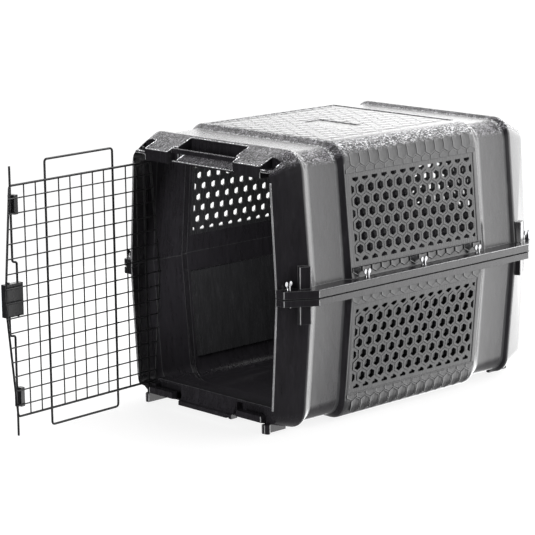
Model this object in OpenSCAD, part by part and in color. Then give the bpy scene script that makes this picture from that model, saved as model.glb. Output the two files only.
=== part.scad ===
// Hard two-piece pet transport carrier with a hinged wire door.
// +X right, +Y towards the back, +Z up. The origin is on the floor, under the middle of the body.

/* [Body] */
// Height of the parting plane above the floor
parting_z = 267; // [255:1:280]
// Half width of the centre section at the parting plane
centre_hw = 238.5; // [230:0.5:245]
// Half width of the corner bands at the parting plane
band_hw = 237; // [230:0.5:245]
// Half width of the recessed channels at the parting plane
channel_hw = 232; // [226:0.5:236]
// Half width of the open front edge at the parting plane
mouth_hw = 208.5; // [208:0.5:212]
// Inward lean of the walls, as a slope
wall_lean = 0.088; // [0.07:0.001:0.1]
// Inward lean of the front edge, as a slope
mouth_lean = 0.065; // [0.05:0.001:0.08]
// Wall thickness
wall = 4; // [3:0.5:5]
// Wall thickness at the open front edge
mouth_wall = 3; // [2.5:0.5:3]
// Front plane, as a distance ahead of the middle
front_y = 355; // [350:1:360]
// Outer face of the rear wall, as a distance behind the middle
rear_y = 349; // [345:1:352]

/* [Levels above and below the parting plane] */
// Roof height of the centre section above the parting plane
roof_rise = 273; // [265:1:280]
// Depth of the channels below the centre section, on the roof
channel_drop = 10; // [6:1:12]
// Depth of the corner bands below the centre section
band_drop = 3; // [1:1:4]
// Height of the top front edge above the parting plane
lip_rise = 244; // [240:1:248]
// Depth of the bottom front edge below the parting plane
lip_fall = 247; // [244:1:250]

/* [Flange] */
// Half width of the flange
flange_hw = 264; // [258:1:268]
// Half width of the flange where its corner cuts begin
flange_corner_x = 227; // [220:1:232]
// Half length of the straight side of the flange
flange_corner_y = 299; // [290:1:305]
// Thickness of the upper flange
flange_up = 16; // [12:1:18]
// Thickness of the lower flange
flange_down = 14; // [12:1:18]

/* [Vents] */
// Spacing of the holes in a row
vent_pitch = 26.3; // [24:0.1:28]
// Width of a hole across its flats
vent_hole = 15.8; // [14:0.1:18]
// Thickness of the vent panels
vent_t = 5; // [4:0.5:6]
// Half length of the side windows
window_half = 176; // [172:1:178]

/* [Door] */
// Angle of the door from closed in the stored pose
door_open = 86.5; // [60:0.5:110]
// Hinge axis, sideways
hinge_x = -168.6; // [-170:0.1:-166]
// Hinge axis, front to back
hinge_y = -349; // [-350:0.5:-348]
// Radius of the frame and loop wires
frame_r = 2.2; // [1.8:0.1:2.4]
// Radius of the mesh wires
mesh_r = 1.3; // [0.9:0.1:1.4]
// Radius of the hinge rod
hinge_r = 2.5; // [2:0.1:2.8]
// Radial clearance of the hinge rod in its sockets
hinge_gap = 0.05; // [0.01:0.01:0.1]

/* [Latch] */
// Travel of each latch rod
latch_travel = 16; // [12:1:16]
// Radius of the latch rods
rod_r = 2.2; // [1.8:0.1:2.4]

/* [Fasteners] */
// Radius of the bolts
bolt_r = 2.5; // [2:0.1:3]
// Spacing of the side bolts
bolt_pitch = 158; // [150:1:165]

/* [Hidden] */
$fn = 48;
e = 1;
black = [0.07, 0.07, 0.075];
dark = [0.12, 0.12, 0.13];
steel = [0.8, 0.8, 0.82];

// Stations along the body: position, half width, rise, shoulder radius, lean
band_y = 292;
step_out_y = 278;
step_in_y = 202;
centre_y = 183;
shoulder_r = 42;
mouth_r = 30;
arc_steps = 8;

function station(y, hw, rise, r, lean) = [y, hw, rise, r, lean];
function stations(roof, lip) = [
    station(-front_y, mouth_hw, lip, mouth_r, mouth_lean),
    station(-band_y, band_hw, roof - band_drop, shoulder_r, wall_lean),
    station(-step_out_y, channel_hw, roof - channel_drop, shoulder_r, wall_lean),
    station(-step_in_y, channel_hw, roof - channel_drop, shoulder_r, wall_lean),
    station(-centre_y, centre_hw, roof, shoulder_r, wall_lean),
    station(centre_y, centre_hw, roof, shoulder_r, wall_lean),
    station(step_in_y, channel_hw, roof - channel_drop, shoulder_r, wall_lean),
    station(step_out_y, channel_hw, roof - channel_drop, shoulder_r, wall_lean),
    station(band_y, band_hw, roof - band_drop, shoulder_r, wall_lean),
    station(rear_y, mouth_hw + 4, lip, mouth_r, mouth_lean)];

// The same stations one wall thickness further in, running out through the open front
function thinner(s, t) = station(s[0], s[1] - t, s[2] - t, s[3] - t, s[4]);
function inner_stations(roof, lip) =
    let (s = stations(roof, lip), m = thinner(s[0], mouth_wall), r = thinner(s[9], wall))
    concat([station(m[0] - e, m[1], m[2], m[3], m[4]), station(m[0] + e, m[1], m[2], m[3], m[4])],
           [for (i = [1:8]) thinner(s[i], wall)],
           [station(rear_y - wall, r[1], r[2], r[3], r[4])]);

// One cross-section, from the right foot over the shoulders to the left foot
function section(s, foot) =
    let (n = sqrt(1 + s[4] * s[4]), a0 = atan(s[4]), zc = s[2] - s[3],
         xc = s[1] - s[4] * zc - s[3] * n,
         arc = [for (k = [0:arc_steps]) let (a = a0 + (90 - a0) * k / arc_steps)
                [xc + s[3] * cos(a), zc + s[3] * sin(a)]],
         right = concat([[s[1] - s[4] * foot, foot]], arc),
         c = len(right))
    concat(right, [for (i = [1:c]) [-right[c - i][0], right[c - i][1]]]);

module loft(st, foot) {
    rings = [for (s = st) [for (p = section(s, foot)) [p[0], s[0], p[1]]]];
    n = len(rings[0]);
    m = len(rings);
    points = [for (r = rings) each r];
    sides = [for (i = [0:m - 2], j = [0:n - 1])
             let (a = i * n + j, b = i * n + (j + 1) % n, c = b + n, d = a + n)
             each [[a, b, c], [a, c, d]]];
    front = [for (j = [0:n - 1]) n - 1 - j];
    back = [for (j = [0:n - 1]) (m - 1) * n + j];
    polyhedron(points, concat([front, back], sides));
}

// Draws its children, which are modelled upwards from the parting plane, in the lower half
module lower_half() {
    translate([0, 0, parting_z]) mirror([0, 0, 1]) children();
}

module upper_half() {
    translate([0, 0, parting_z]) children();
}

module both_sides() {
    children();
    mirror([1, 0, 0]) children();
}

module four_corners() {
    both_sides() {
        children();
        mirror([0, 1, 0]) children();
    }
}

// Flange outline, drawn in by d
function flange_outline(d) =
    let (w = flange_hw - d, cx = flange_corner_x - d * 0.6, cy = flange_corner_y - d * 0.4,
         l = front_y - d)
    [[w, -cy], [w, cy], [cx, l], [-cx, l], [-w, cy], [-w, -cy], [-cx, -l], [cx, -l]];

groove_h = 1;
groove_d = 3;

module flange(t) {
    linear_extrude(t) polygon(flange_outline(groove_d));
    translate([0, 0, groove_h]) linear_extrude(t - groove_h) polygon(flange_outline(0));
}

// Block that stiffens the corner band where it meets the flange
gusset_t = 8;
gusset_w = 22;
gusset_in = 10;
module gusset(h) {
    a = atan2(front_y - band_y, band_hw - mouth_hw);
    translate([band_hw - 2, -band_y - 4, 0]) rotate([0, 0, a - 180])
        translate([0, -gusset_in, 0]) cube([gusset_w, gusset_in + gusset_t, h]);
}

// Bolt places
side_bolt_x = 251;
corner_bolt = [224.5, -341];
module at_side_bolts() {
    for (s = [-1, 1], k = [-1:1]) translate([s * side_bolt_x, k * bolt_pitch, 0]) children();
}
module at_corner_bolts() {
    for (s = [-1, 1], k = [-1, 1])
        translate([s * corner_bolt[0], k * corner_bolt[1], 0]) children();
}

bolt_hole_r = bolt_r + 0.1;
module bolt_holes(t) {
    at_side_bolts() translate([0, 0, -e]) cylinder(r = bolt_hole_r, h = t + 2 * e);
    at_corner_bolts() translate([0, 0, -e]) cylinder(r = bolt_hole_r, h = t + 2 * e);
}

// Places its children on the right-hand wall: local Y along it, local Z up it, local X out of it
module on_wall() {
    translate([centre_hw, 0, 0]) rotate([0, -atan(wall_lean), 0]) children();
}

window_low = 38;
window_high = 214;
module side_window() {
    on_wall() translate([-20, -window_half, window_low])
        cube([40, 2 * window_half, window_high - window_low]);
}

rear_window_half = 112;
rear_window = [44, 204];
module rear_opening() {
    translate([-rear_window_half, rear_y - wall - e, rear_window[0]])
        cube([2 * rear_window_half, wall + 2 * e, rear_window[1] - rear_window[0]]);
}

// Heights of the front details, above the floor
head_z = 488;
keeper_z = 500;
keeper_t = 5;
recess_half = 92;
recess_y = 344;
pocket_half = 82;
pocket_back_y = 301;
head_back_y = 297;
right_block_x = 166;
left_block_x = 157;
notch_x = 190;
pocket_y = 322;

latch_x = 173.9;
lower_latch_x = 172.6;
latch_y = -351;
keeper_hole_r = 2.8;

module slab_yz(outline, x0, x1) {
    translate([x0, 0, 0]) rotate([90, 0, 90]) linear_extrude(x1 - x0) polygon(outline);
}

// Filled header over the doorway, cut to the body's outline
module header() {
    difference() {
        intersection() {
            upper_half() loft(stations(roof_rise, lip_rise), 0);
            translate([-200, -front_y, head_z]) cube([400, front_y - head_back_y, 80]);
        }
        // ramp under the carry handle
        slab_yz([[-front_y - e, 480], [-recess_y, 480], [-recess_y, 492], [-pocket_back_y, 507],
                 [-pocket_back_y, 600], [-front_y - e, 600]], -pocket_half, pocket_half);
        slab_yz([[-front_y - e, 480], [-recess_y, 480], [-recess_y, 492], [-336, 494.8],
                 [-336, 600], [-front_y - e, 600]], -recess_half, recess_half);
        slab_yz([[-340, 480], [-340, 489.4], [-pocket_back_y, 503], [-head_back_y + e, 503],
                 [-head_back_y + e, 480]], -recess_half, recess_half);
        // hollows inside the blocks
        for (x = [recess_half + wall, -left_block_x + wall])
            slab_yz([[-front_y + wall, 480], [-front_y + wall, 505], [-head_back_y + e, 530],
                     [-head_back_y + e, 480]], x, x + left_block_x - recess_half - 2 * wall);
    }
}

// Pockets beside the blocks, over and under the keeper plates
module keeper_cuts() {
    for (x = [right_block_x, -notch_x]) {
        w = x > 0 ? notch_x - right_block_x : notch_x - left_block_x;
        translate([x, -front_y - e, keeper_z + keeper_t]) cube([w, front_y - pocket_y, 100]);
        translate([x, -front_y - e, 470]) cube([w, front_y - pocket_y, keeper_z - 470]);
    }
    translate([hinge_x, hinge_y, 470]) cylinder(r = hinge_r + hinge_gap, h = 60);
    translate([latch_x, latch_y, 470]) cylinder(r = keeper_hole_r, h = 60);
}

module top_shell() {
    color(black) difference() {
        union() {
            difference() {
                upper_half() union() {
                    loft(stations(roof_rise, lip_rise), 0);
                    flange(flange_up);
                    four_corners() gusset(flange_up + 42);
                }
                upper_half() loft(inner_stations(roof_rise, lip_rise), -e);
                upper_half() both_sides() side_window();
                upper_half() rear_opening();
                // open the recess and the pocket through the front slope
                translate([-recess_half, -front_y - e, 480])
                    cube([2 * recess_half, front_y - recess_y + 8 + e, 100]);
                translate([-pocket_half, -recess_y, 480])
                    cube([2 * pocket_half, recess_y - pocket_back_y, 100]);
            }
            header();
        }
        keeper_cuts();
        upper_half() bolt_holes(flange_up);
        roof_recess();
        for (s = [-1, 1]) translate([s * 126, -344, 500]) cylinder(r = 2.4, h = 40);
    }
}

// Shallow rectangular recess in the roof, inside the larger recess of its relief
relief_half = [168, 178];
relief_depth = 1.3;
recess_mid = [14, -12];
recess_size = [116, 50];
recess_depth = 2.6;
module roof_recess() {
    translate([recess_mid[0] - recess_size[0] / 2, recess_mid[1] - recess_size[1] / 2,
               parting_z + roof_rise - recess_depth])
        cube([recess_size[0], recess_size[1], recess_depth + e]);
    translate([-relief_half[0], -relief_half[1], parting_z + roof_rise - relief_depth])
        cube([2 * relief_half[0], 2 * relief_half[1], relief_depth + e]);
}

// Front details of the lower shell, above the floor
sill_z = 50;
sill_y = 341;
sill_t = 22;
lip_top_z = 32.5;
lip_low_z = 12;
sill_end_z = 36;
lip_end_x = 160;
foot_x = 163;
foot_w = 8;
foot_len = 55;
foot_top = 18;
tab_half = 76;

module sill() {
    intersection() {
        lower_half() loft(stations(parting_z, lip_fall), 0);
        union() {
            difference() {
                translate([-200, -sill_y, 0]) cube([400, sill_t, sill_z]);
                both_sides() translate([tab_half + 4, -sill_y - e, lip_low_z])
                    cube([lip_end_x - tab_half - 8, sill_t - 6, sill_z - 5 - lip_low_z]);
                // room for the door frame behind its hinge
                translate([-200 - e, -sill_y - e, sill_end_z]) cube([53, sill_t + 2 * e, 20]);
            }
            both_sides() translate([recess_half, -front_y, 0])
                cube([lip_end_x - recess_half, front_y - sill_y, lip_top_z]);
        }
    }
    difference() {
        slab_yz([[-sill_y, sill_z], [-sill_y, 38], [-344, 27], [-348, 20.5], [-353, 18.5], [-353, 10.4],
                 [-sill_y + 4, 10.4], [-sill_y + 4, sill_z]], -tab_half, tab_half);
        translate([tab_half - 14, -354, 10]) cube([7, 5, 5]);
    }
}

module feet() {
    both_sides() {
        translate([foot_x, -front_y, 0]) cube([foot_w, foot_len, foot_top]);
        translate([foot_x, front_y - foot_len - 12, 0]) cube([foot_w, foot_len, foot_top]);
    }
    for (p = [[hinge_x, hinge_y], [lower_latch_x, latch_y + 2]])
        translate([p[0], p[1], 0]) cylinder(r = 5.6, h = foot_top);
}

module bottom_shell() {
    color(black) difference() {
        union() {
            difference() {
                lower_half() union() {
                    loft(stations(parting_z, lip_fall), 0);
                    flange(flange_down);
                    four_corners() gusset(flange_down + 38);
                }
                lower_half() loft(inner_stations(parting_z, lip_fall), -e);
                lower_half() both_sides() side_window();
                translate([-recess_half, -front_y - e, -e])
                    cube([2 * recess_half, front_y - recess_y, 80]);
                for (x = [lip_end_x, -notch_x]) translate([x, -front_y - e, -e])
                    cube([notch_x - lip_end_x, front_y - sill_y + e, sill_z + e]);
            }
            sill();
            feet();
        }
        translate([hinge_x, hinge_y, 2]) cylinder(r = hinge_r + hinge_gap, h = 40);
        translate([lower_latch_x, latch_y, 1.5]) cylinder(r = keeper_hole_r, h = 40);
        lower_half() bolt_holes(flange_down);
    }
}

// Carrying bar across the recess at the top of the front
handle_low = 507;
handle_high = 517;
module carry_handle() {
    r = 2.5;
    color(black) hull()
        for (y = [-342.5, -338.5], z = [handle_low + r, handle_high - r])
            translate([-recess_half, y, z]) rotate([0, 90, 0])
                cylinder(r = r, h = 2 * recess_half, $fn = 32);
}

// Field of staggered hexagonal holes: rows of pitch p inside the box half by (low..high)
module hole_field(half, low, high, rows, top_row) {
    intersection() {
        translate([-half, low]) square([2 * half, high - low]);
        for (j = [0:rows - 1], i = [-8:8])
            translate([(i + (j % 2) / 2) * vent_pitch, top_row - j * vent_pitch * sqrt(3) / 2])
                rotate(30) circle(d = vent_hole / cos(30), $fn = 6);
    }
}

vent_top_row = 206.2;
vent_rows = 8;
module panel_holes() {
    hole_field(6.5 * vent_pitch - 0.4, vent_top_row - 7 * vent_pitch * sqrt(3) / 2, vent_top_row,
               vent_rows, vent_top_row);
}
module panel_blank() {
    translate([-window_half, window_low]) square([2 * window_half, window_high - window_low]);
}
module on_panel(depth) {
    on_wall() translate([-depth - 1, 0, 0]) rotate([90, 0, 90]) children();
}

// Open grille of the upper half
module open_panel() {
    on_panel(vent_t) linear_extrude(vent_t) difference() {
        panel_blank();
        panel_holes();
    }
}

// Closed grille of the lower half: hexagonal pockets, each with a deeper crescent on its rear lower side
blind_t = 10.6;
pocket_depth = 4.5;
crescent_depth = 8.6;
crescent_w = [4.2, 2.4];
module blind_panel() {
    difference() {
        on_panel(blind_t) linear_extrude(blind_t) panel_blank();
        on_panel(pocket_depth) linear_extrude(pocket_depth + e) panel_holes();
        on_panel(crescent_depth) linear_extrude(crescent_depth - pocket_depth + e)
            difference() {
                panel_holes();
                translate(-crescent_w) panel_holes();
            }
    }
}

module upper_vent_right() { color(black) upper_half() open_panel(); }
module upper_vent_left() { color(black) upper_half() mirror([1, 0, 0]) open_panel(); }
module lower_vent_right() { color(black) lower_half() blind_panel(); }
module lower_vent_left() { color(black) lower_half() mirror([1, 0, 0]) blind_panel(); }

module rear_vent() {
    w = rear_window_half;
    color(black) upper_half() translate([0, rear_y - 0.5, 0]) rotate([90, 0, 0])
        linear_extrude(vent_t) difference() {
            translate([-w, rear_window[0]]) square([2 * w, rear_window[1] - rear_window[0]]);
            hole_field(4 * vent_pitch - 0.4, rear_window[0] + 8, rear_window[1] - 8, 7,
                       rear_window[1] - 12 - vent_hole / 2);
        }
}

// Fasteners: button-head bolts from below, washers and wing nuts on top
head_r = 5;
head_h = 3.5;
stud_top = 297;
washer_r = 6;
washer_t = 0.8;
nut_z = parting_z + flange_up + washer_t;

module bolt() {
    z0 = parting_z - flange_down;
    translate([0, 0, z0]) cylinder(r = bolt_r, h = stud_top - z0);
    translate([0, 0, z0]) mirror([0, 0, 1]) rotate_extrude() intersection() {
        translate([0, -7]) circle(r = 10.5);
        square([head_r, head_h]);
    }
}

module wing_nut() {
    translate([0, 0, nut_z]) difference() {
        union() {
            cylinder(r1 = 4.6, r2 = 3.6, h = 7.5);
            for (s = [-1, 1]) translate([-1.2, s * 5.4, 9.6]) rotate([0, 90, 0]) {
                cylinder(r = 3.9, h = 2.4);
                translate([0, s > 0 ? -4.4 : 0, 0]) cube([7, 4.4, 2.4]);
            }
        }
        translate([0, 0, -e]) cylinder(r = bolt_r, h = 24);
    }
}

module side_bolts() { color(steel) at_side_bolts() bolt(); }
module corner_bolts() { color(steel) at_corner_bolts() bolt(); }
module side_wing_nuts() { color(steel) at_side_bolts() wing_nut(); }
module corner_wing_nuts() { color(steel) at_corner_bolts() wing_nut(); }

module washer() {
    translate([0, 0, parting_z + flange_up]) difference() {
        cylinder(r = washer_r, h = washer_t);
        translate([0, 0, -e]) cylinder(r = bolt_r, h = washer_t + 2 * e);
    }
}

module nut_washers() {
    color(steel) {
        at_side_bolts() washer();
        at_corner_bolts() washer();
    }
}

// Door, drawn closed with X along it from the hinge, then swung open
frame_off = 4.7;
row_off = 8.2;
column_off = 5.6;
loop_off = 0.3;
rod_off = -2;
door_top = 482;
door_mid = 263;
door_low = 42;
top_left = -12;
top_right = 350;
mid_left = -32;
mid_right = 368;
low_left = -14;
low_right = 346;

module on_door() {
    translate([hinge_x, hinge_y, 0]) rotate([0, 0, -door_open]) children();
}

module rod(a, b, r) {
    d = b - a;
    translate(a) rotate([0, acos(d[2] / norm(d)), atan2(d[1], d[0])]) cylinder(r = r, h = norm(d));
}

// Path through a list of [x, z] points, with each corner rounded from bend before it to bend after
bend_steps = 5;
function unit(v) = v / norm(v);
function corner(p, v, q, bend) =
    let (a = v + bend * unit(p - v), b = v + bend * unit(q - v))
    [for (k = [0:bend_steps]) let (t = k / bend_steps)
     (1 - t) * (1 - t) * a + 2 * t * (1 - t) * v + t * t * b];
function bent(pts, bend, closed) =
    let (n = len(pts))
    [for (i = [0:n - 1])
     each !closed && (i == 0 || i == n - 1) ? [pts[i]]
         : corner(pts[(i + n - 1) % n], pts[i], pts[(i + 1) % n], bend)];

// Round wire swept along a path that lies in the plane y = off
wire_sides = 16;
module wire(pts, off, r, bend, closed) {
    path = bent(pts, bend, closed);
    n = len(path);
    m = wire_sides;
    points = [for (i = [0:n - 1])
        let (back = closed || i > 0 ? path[(i + n - 1) % n] : path[i],
             next = closed || i < n - 1 ? path[(i + 1) % n] : path[i],
             d = unit(next - back))
        for (k = [0:m - 1])
            let (c = r * cos(360 * k / m), h = r * sin(360 * k / m))
            [path[i][0] + d[1] * c, off + h, path[i][1] - d[0] * c]];
    sides = [for (i = [0:closed ? n - 1 : n - 2], k = [0:m - 1])
        let (j = (i + 1) % n, a = i * m + k, b = i * m + (k + 1) % m,
             c = j * m + (k + 1) % m, d = j * m + k)
        each [[a, b, c], [a, c, d]]];
    ends = closed ? [] : [[for (k = [0:m - 1]) m - 1 - k], [for (k = [0:m - 1]) (n - 1) * m + k]];
    polyhedron(points, concat(ends, sides));
}

// Both side edges of the frame at height z
function edge(z, top, mid, low) =
    z > door_mid ? mid + (top - mid) * (z - door_mid) / (door_top - door_mid)
                 : mid + (low - mid) * (door_mid - z) / (door_mid - door_low);
function left_edge(z) = edge(z, top_left, mid_left, low_left);
function right_edge(z) = edge(z, top_right, mid_right, low_right);

frame_bend = 6.5;
module door_frame_wire() {
    color(dark) on_door()
        wire([[top_left, door_top], [top_right, door_top], [mid_right, door_mid],
              [low_right, door_low], [low_left, door_low], [mid_left, door_mid]],
             frame_off, frame_r, frame_bend, true);
}

row_top = 458.1;
row_pitch = 28.1;
rows = 15;
overhang = 4.5;
module door_horizontal_wires() {
    color(dark) on_door() for (k = [0:rows - 1]) {
        z = row_top - k * row_pitch;
        rod([left_edge(z) - 1, row_off, z], [right_edge(z) + overhang, row_off, z], mesh_r);
    }
}

column_first = 315.6;
column_pitch = 28.93;
loop_columns = [2, 8];
module door_vertical_wires() {
    color(dark) on_door() for (k = [0:10]) if (k != loop_columns[0] && k != loop_columns[1]) {
        x = column_first - k * column_pitch;
        rod([x, column_off, door_low + 1.9], [x, column_off, door_top - 1.9], mesh_r);
    }
}

loop_top = 520;
loop_low = 7.5;
loop_bend = 6.5;
module door_loop_wire() {
    x = [for (k = loop_columns) column_first - k * column_pitch];
    color(dark) on_door()
        wire([[x[1], loop_top], [x[0], loop_top], [x[0], loop_low], [x[1], loop_low]],
             loop_off, frame_r, loop_bend, true);
}

module hinge_rod() {
    color(dark) on_door() rod([0, 0, 4], [0, 0, 512], hinge_r);
}

// Latch: a housing on the outer face with two rods pushed apart by springs
house_x = [322, 363.1];
house_y = [-9.7, 2.4];
house_z = [234, 297];
house_wall = 2.5;
cover_t = 0.9;
strip_t = 2.4;
upper_x = 332;
lower_x = 353.6;
upper_main_x = latch_x - hinge_x;
lower_main_x = lower_latch_x - hinge_x;
rod_slip = 0.3;

module latch_housing() {
    w = house_wall;
    size = [house_x[1] - house_x[0], house_y[1] - house_y[0], house_z[1] - house_z[0]];
    color(dark) on_door() difference() {
        union() {
            translate([house_x[0], house_y[0], house_z[0]]) cube(size);
            translate([house_x[1], house_y[0], house_z[0]]) cube([strip_t, size[1], size[2]]);
        }
        translate([house_x[0] + w, house_y[0] + w, house_z[0] + w])
            cube([size[0] - 2 * w, size[1], size[2] - 2 * w]);
        for (x = [upper_x, lower_x]) translate([x, rod_off, house_z[0] - e])
            cylinder(r = rod_r + rod_slip, h = size[2] + 2 * e);
        // slots for the finger tabs
        translate([upper_x - 7, house_y[0] - e, 262.5]) cube([14, w + 2 * e, 25]);
        translate([lower_x - 7, house_y[0] - e, 243.5]) cube([14, w + 2 * e, 25]);
    }
}

module latch_cover() {
    color(dark) on_door()
        translate([house_x[0] + house_wall, house_y[1] - cover_t, house_z[0] + house_wall])
            cube([house_x[1] - house_x[0] - 2 * house_wall, cover_t,
                  house_z[1] - house_z[0] - 2 * house_wall]);
}

guide_x = [-11, 3.5];
stem_edge = 1.5;
module rod_guide(x, z0, z1) {
    color(dark) on_door() difference() {
        translate([x + guide_x[0], rod_off - rod_r - 1.6, z0])
            cube([guide_x[1] - guide_x[0], row_off - mesh_r - rod_off + rod_r + 1.6, z1 - z0]);
        translate([x, rod_off, z0 - e]) cylinder(r = rod_r + rod_slip, h = z1 - z0 + 2 * e);
        translate([x - stem_edge, rod_off + rod_r + 1, z0 - e]) cube([10, 20, z1 - z0 + 2 * e]);
    }
}

module upper_rod_guide() { rod_guide(upper_main_x, 427, 464); }
module lower_rod_guide() { rod_guide(lower_main_x, 60, 97); }

upper_tip = 517;
lower_tip = 3.2;
rod_bend = 4;
module upper_latch_rod() {
    color(dark) on_door()
        wire([[upper_main_x, upper_tip], [upper_main_x, 337.5], [upper_x, 335.5], [upper_x, 232]],
             rod_off, rod_r, rod_bend, false);
}

module lower_latch_rod() {
    color(dark) on_door()
        wire([[lower_main_x, lower_tip], [lower_main_x, 196], [lower_x, 198], [lower_x, 300]],
             rod_off, rod_r, rod_bend, false);
}

// Finger tab clamped on a rod at height z
tab_w = 13;
tab_t = 6;
module finger_tab(x, z) {
    color(dark) on_door() difference() {
        union() {
            translate([x - tab_w / 2, -16, z]) cube([tab_w, 12, tab_t]);
            translate([x, rod_off, z]) cylinder(r = 3.3, h = tab_t);
        }
        translate([x, rod_off, z - e]) cylinder(r = rod_r, h = tab_t + 2 * e);
    }
}

upper_tab_z = 280;
lower_tab_z = 245;
module upper_latch_tab() { finger_tab(upper_x, upper_tab_z); }
module lower_latch_tab() { finger_tab(lower_x, lower_tab_z); }

// Coil drawn as evenly spaced rings round a rod
coil_r = 2.85;
coil_wire_r = 0.4;
coil_turns = 12;
module coil(x, z0, z1) {
    color(steel) on_door() for (k = [0:coil_turns - 1])
        translate([x, rod_off, z0 + coil_wire_r + (z1 - z0 - 2 * coil_wire_r) * k / (coil_turns - 1)])
            rotate_extrude() translate([coil_r, 0]) circle(r = coil_wire_r, $fn = 16);
}

module upper_latch_spring() { coil(upper_x, house_z[0] + house_wall, upper_tab_z); }
module lower_latch_spring() { coil(lower_x, lower_tab_z + tab_t, house_z[1] - house_wall); }

top_shell();
bottom_shell();
carry_handle();
upper_vent_right();
upper_vent_left();
lower_vent_right();
lower_vent_left();
rear_vent();
side_bolts();
corner_bolts();
side_wing_nuts();
corner_wing_nuts();
nut_washers();
hinge_rod();
door_frame_wire();
door_horizontal_wires();
door_vertical_wires();
door_loop_wire();
latch_housing();
latch_cover();
upper_rod_guide();
lower_rod_guide();
upper_latch_rod();
upper_latch_tab();
upper_latch_spring();
lower_latch_rod();
lower_latch_tab();
lower_latch_spring();
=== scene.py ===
import bpy
import bmesh
import math
from mathutils import Matrix, Vector


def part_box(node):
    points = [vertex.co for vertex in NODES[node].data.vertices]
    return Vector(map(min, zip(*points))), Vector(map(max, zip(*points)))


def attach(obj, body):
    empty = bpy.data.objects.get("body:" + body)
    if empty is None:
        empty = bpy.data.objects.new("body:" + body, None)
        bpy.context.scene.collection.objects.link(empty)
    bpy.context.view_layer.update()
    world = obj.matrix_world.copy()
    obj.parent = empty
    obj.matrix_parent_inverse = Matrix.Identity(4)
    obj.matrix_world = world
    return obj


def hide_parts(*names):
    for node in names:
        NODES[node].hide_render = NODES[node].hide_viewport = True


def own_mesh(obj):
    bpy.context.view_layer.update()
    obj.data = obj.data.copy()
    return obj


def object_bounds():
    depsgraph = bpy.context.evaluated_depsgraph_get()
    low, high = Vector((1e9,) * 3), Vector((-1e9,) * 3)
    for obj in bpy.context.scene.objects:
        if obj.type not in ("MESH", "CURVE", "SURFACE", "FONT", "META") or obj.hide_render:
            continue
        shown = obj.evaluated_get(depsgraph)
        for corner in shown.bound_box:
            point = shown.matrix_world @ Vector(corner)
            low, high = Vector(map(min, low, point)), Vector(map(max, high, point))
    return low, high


# A two-piece pet carrier with a hinged wire door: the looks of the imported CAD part.
# Everything is in metres, with +X right, +Y towards the back and +Z up.
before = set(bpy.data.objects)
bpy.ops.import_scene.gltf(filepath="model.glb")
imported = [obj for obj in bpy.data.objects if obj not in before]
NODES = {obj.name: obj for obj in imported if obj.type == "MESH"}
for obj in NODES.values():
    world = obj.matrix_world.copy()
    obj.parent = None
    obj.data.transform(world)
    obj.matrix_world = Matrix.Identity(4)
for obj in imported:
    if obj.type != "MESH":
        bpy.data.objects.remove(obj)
cad_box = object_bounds()
SCENE = bpy.context.scene
SCENE.view_settings.view_transform = "Standard"
SCENE.view_settings.look = "None"
MM = 0.001

# ---------------------------------------------------------------- sizes that the part's source has too
# The body: half widths at the parting plane, and rises and drops from it or from the roof
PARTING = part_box("top_shell")[0][2]
CENTRE_HALF = 0.2385
BAND_HALF = 0.237
CHANNEL_HALF = 0.232
WALL_LEAN = 0.088
ROOF_RISE = 0.273
BAND_DROP = 0.003
CHANNEL_DROP = 0.010
SHOULDER_R = 0.042
# The steps between the corner bands and the centre, the same in front and behind: distance from the
# middle, half width, drop
STEPS = (
    (0.292, BAND_HALF, BAND_DROP),
    (0.278, CHANNEL_HALF, CHANNEL_DROP),
    (0.202, CHANNEL_HALF, CHANNEL_DROP),
    (0.183, CENTRE_HALF, 0.0),
)

# The roof's wide relief and the small blank recess inside it
RELIEF_DEPTH = 0.0013
RECESS_MID = (0.014, -0.012)
RECESS_HALF = (0.058, 0.025)

# The staggered holes of a side grille, counted in rows from the top one
PITCH = 0.0263
ROW_PITCH = PITCH * math.sqrt(3) / 2
TOP_ROW = 0.2062
HOLE_ROWS = 8

# The door: how far it stands open, its hinge, its mesh, and its two latch rods and their springs.
# Apart from the hinge's own place, x and y are measured from the hinge along the closed door.
DOOR_TURN = math.radians(-86.5)
DOOR_AXIS = Vector((-0.1686, -0.349, 0))
MESH_ROWS = 15
MESH_ROW_TOP = 0.4581
MESH_ROW_PITCH = 0.0281
MESH_COLUMNS = 11
MESH_COLUMN_FIRST = 0.3156
MESH_COLUMN_PITCH = 0.02893
ROD_Y = -0.002
UPPER_ROD_X = 0.332
LOWER_ROD_X = 0.3536
UPPER_SPRING = (0.2365, 0.280)
LOWER_SPRING = (0.251, 0.2945)

# Cross-section of the centre: a straight leaning wall, the arc of the shoulder, and the flat roof
TILT = math.atan(WALL_LEAN)
ARC_RISE = ROOF_RISE - SHOULDER_R
ARC_X = CENTRE_HALF - WALL_LEAN * ARC_RISE - SHOULDER_R * math.sqrt(1 + WALL_LEAN * WALL_LEAN)
WALL_LENGTH = (ARC_RISE + SHOULDER_R * math.sin(TILT)) / math.cos(TILT)
ARC_LENGTH = SHOULDER_R * (math.pi / 2 - TILT)


# ---------------------------------------------------------------- camera
CAMERA_PLACE = (3.227, -3.255, 1.203)
CAMERA_TURN = math.radians(46.38)
CAMERA_DIP = math.radians(11.82)
CAMERA_ROLL = math.radians(0.66)
CAMERA_LENS = 155.98


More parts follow.
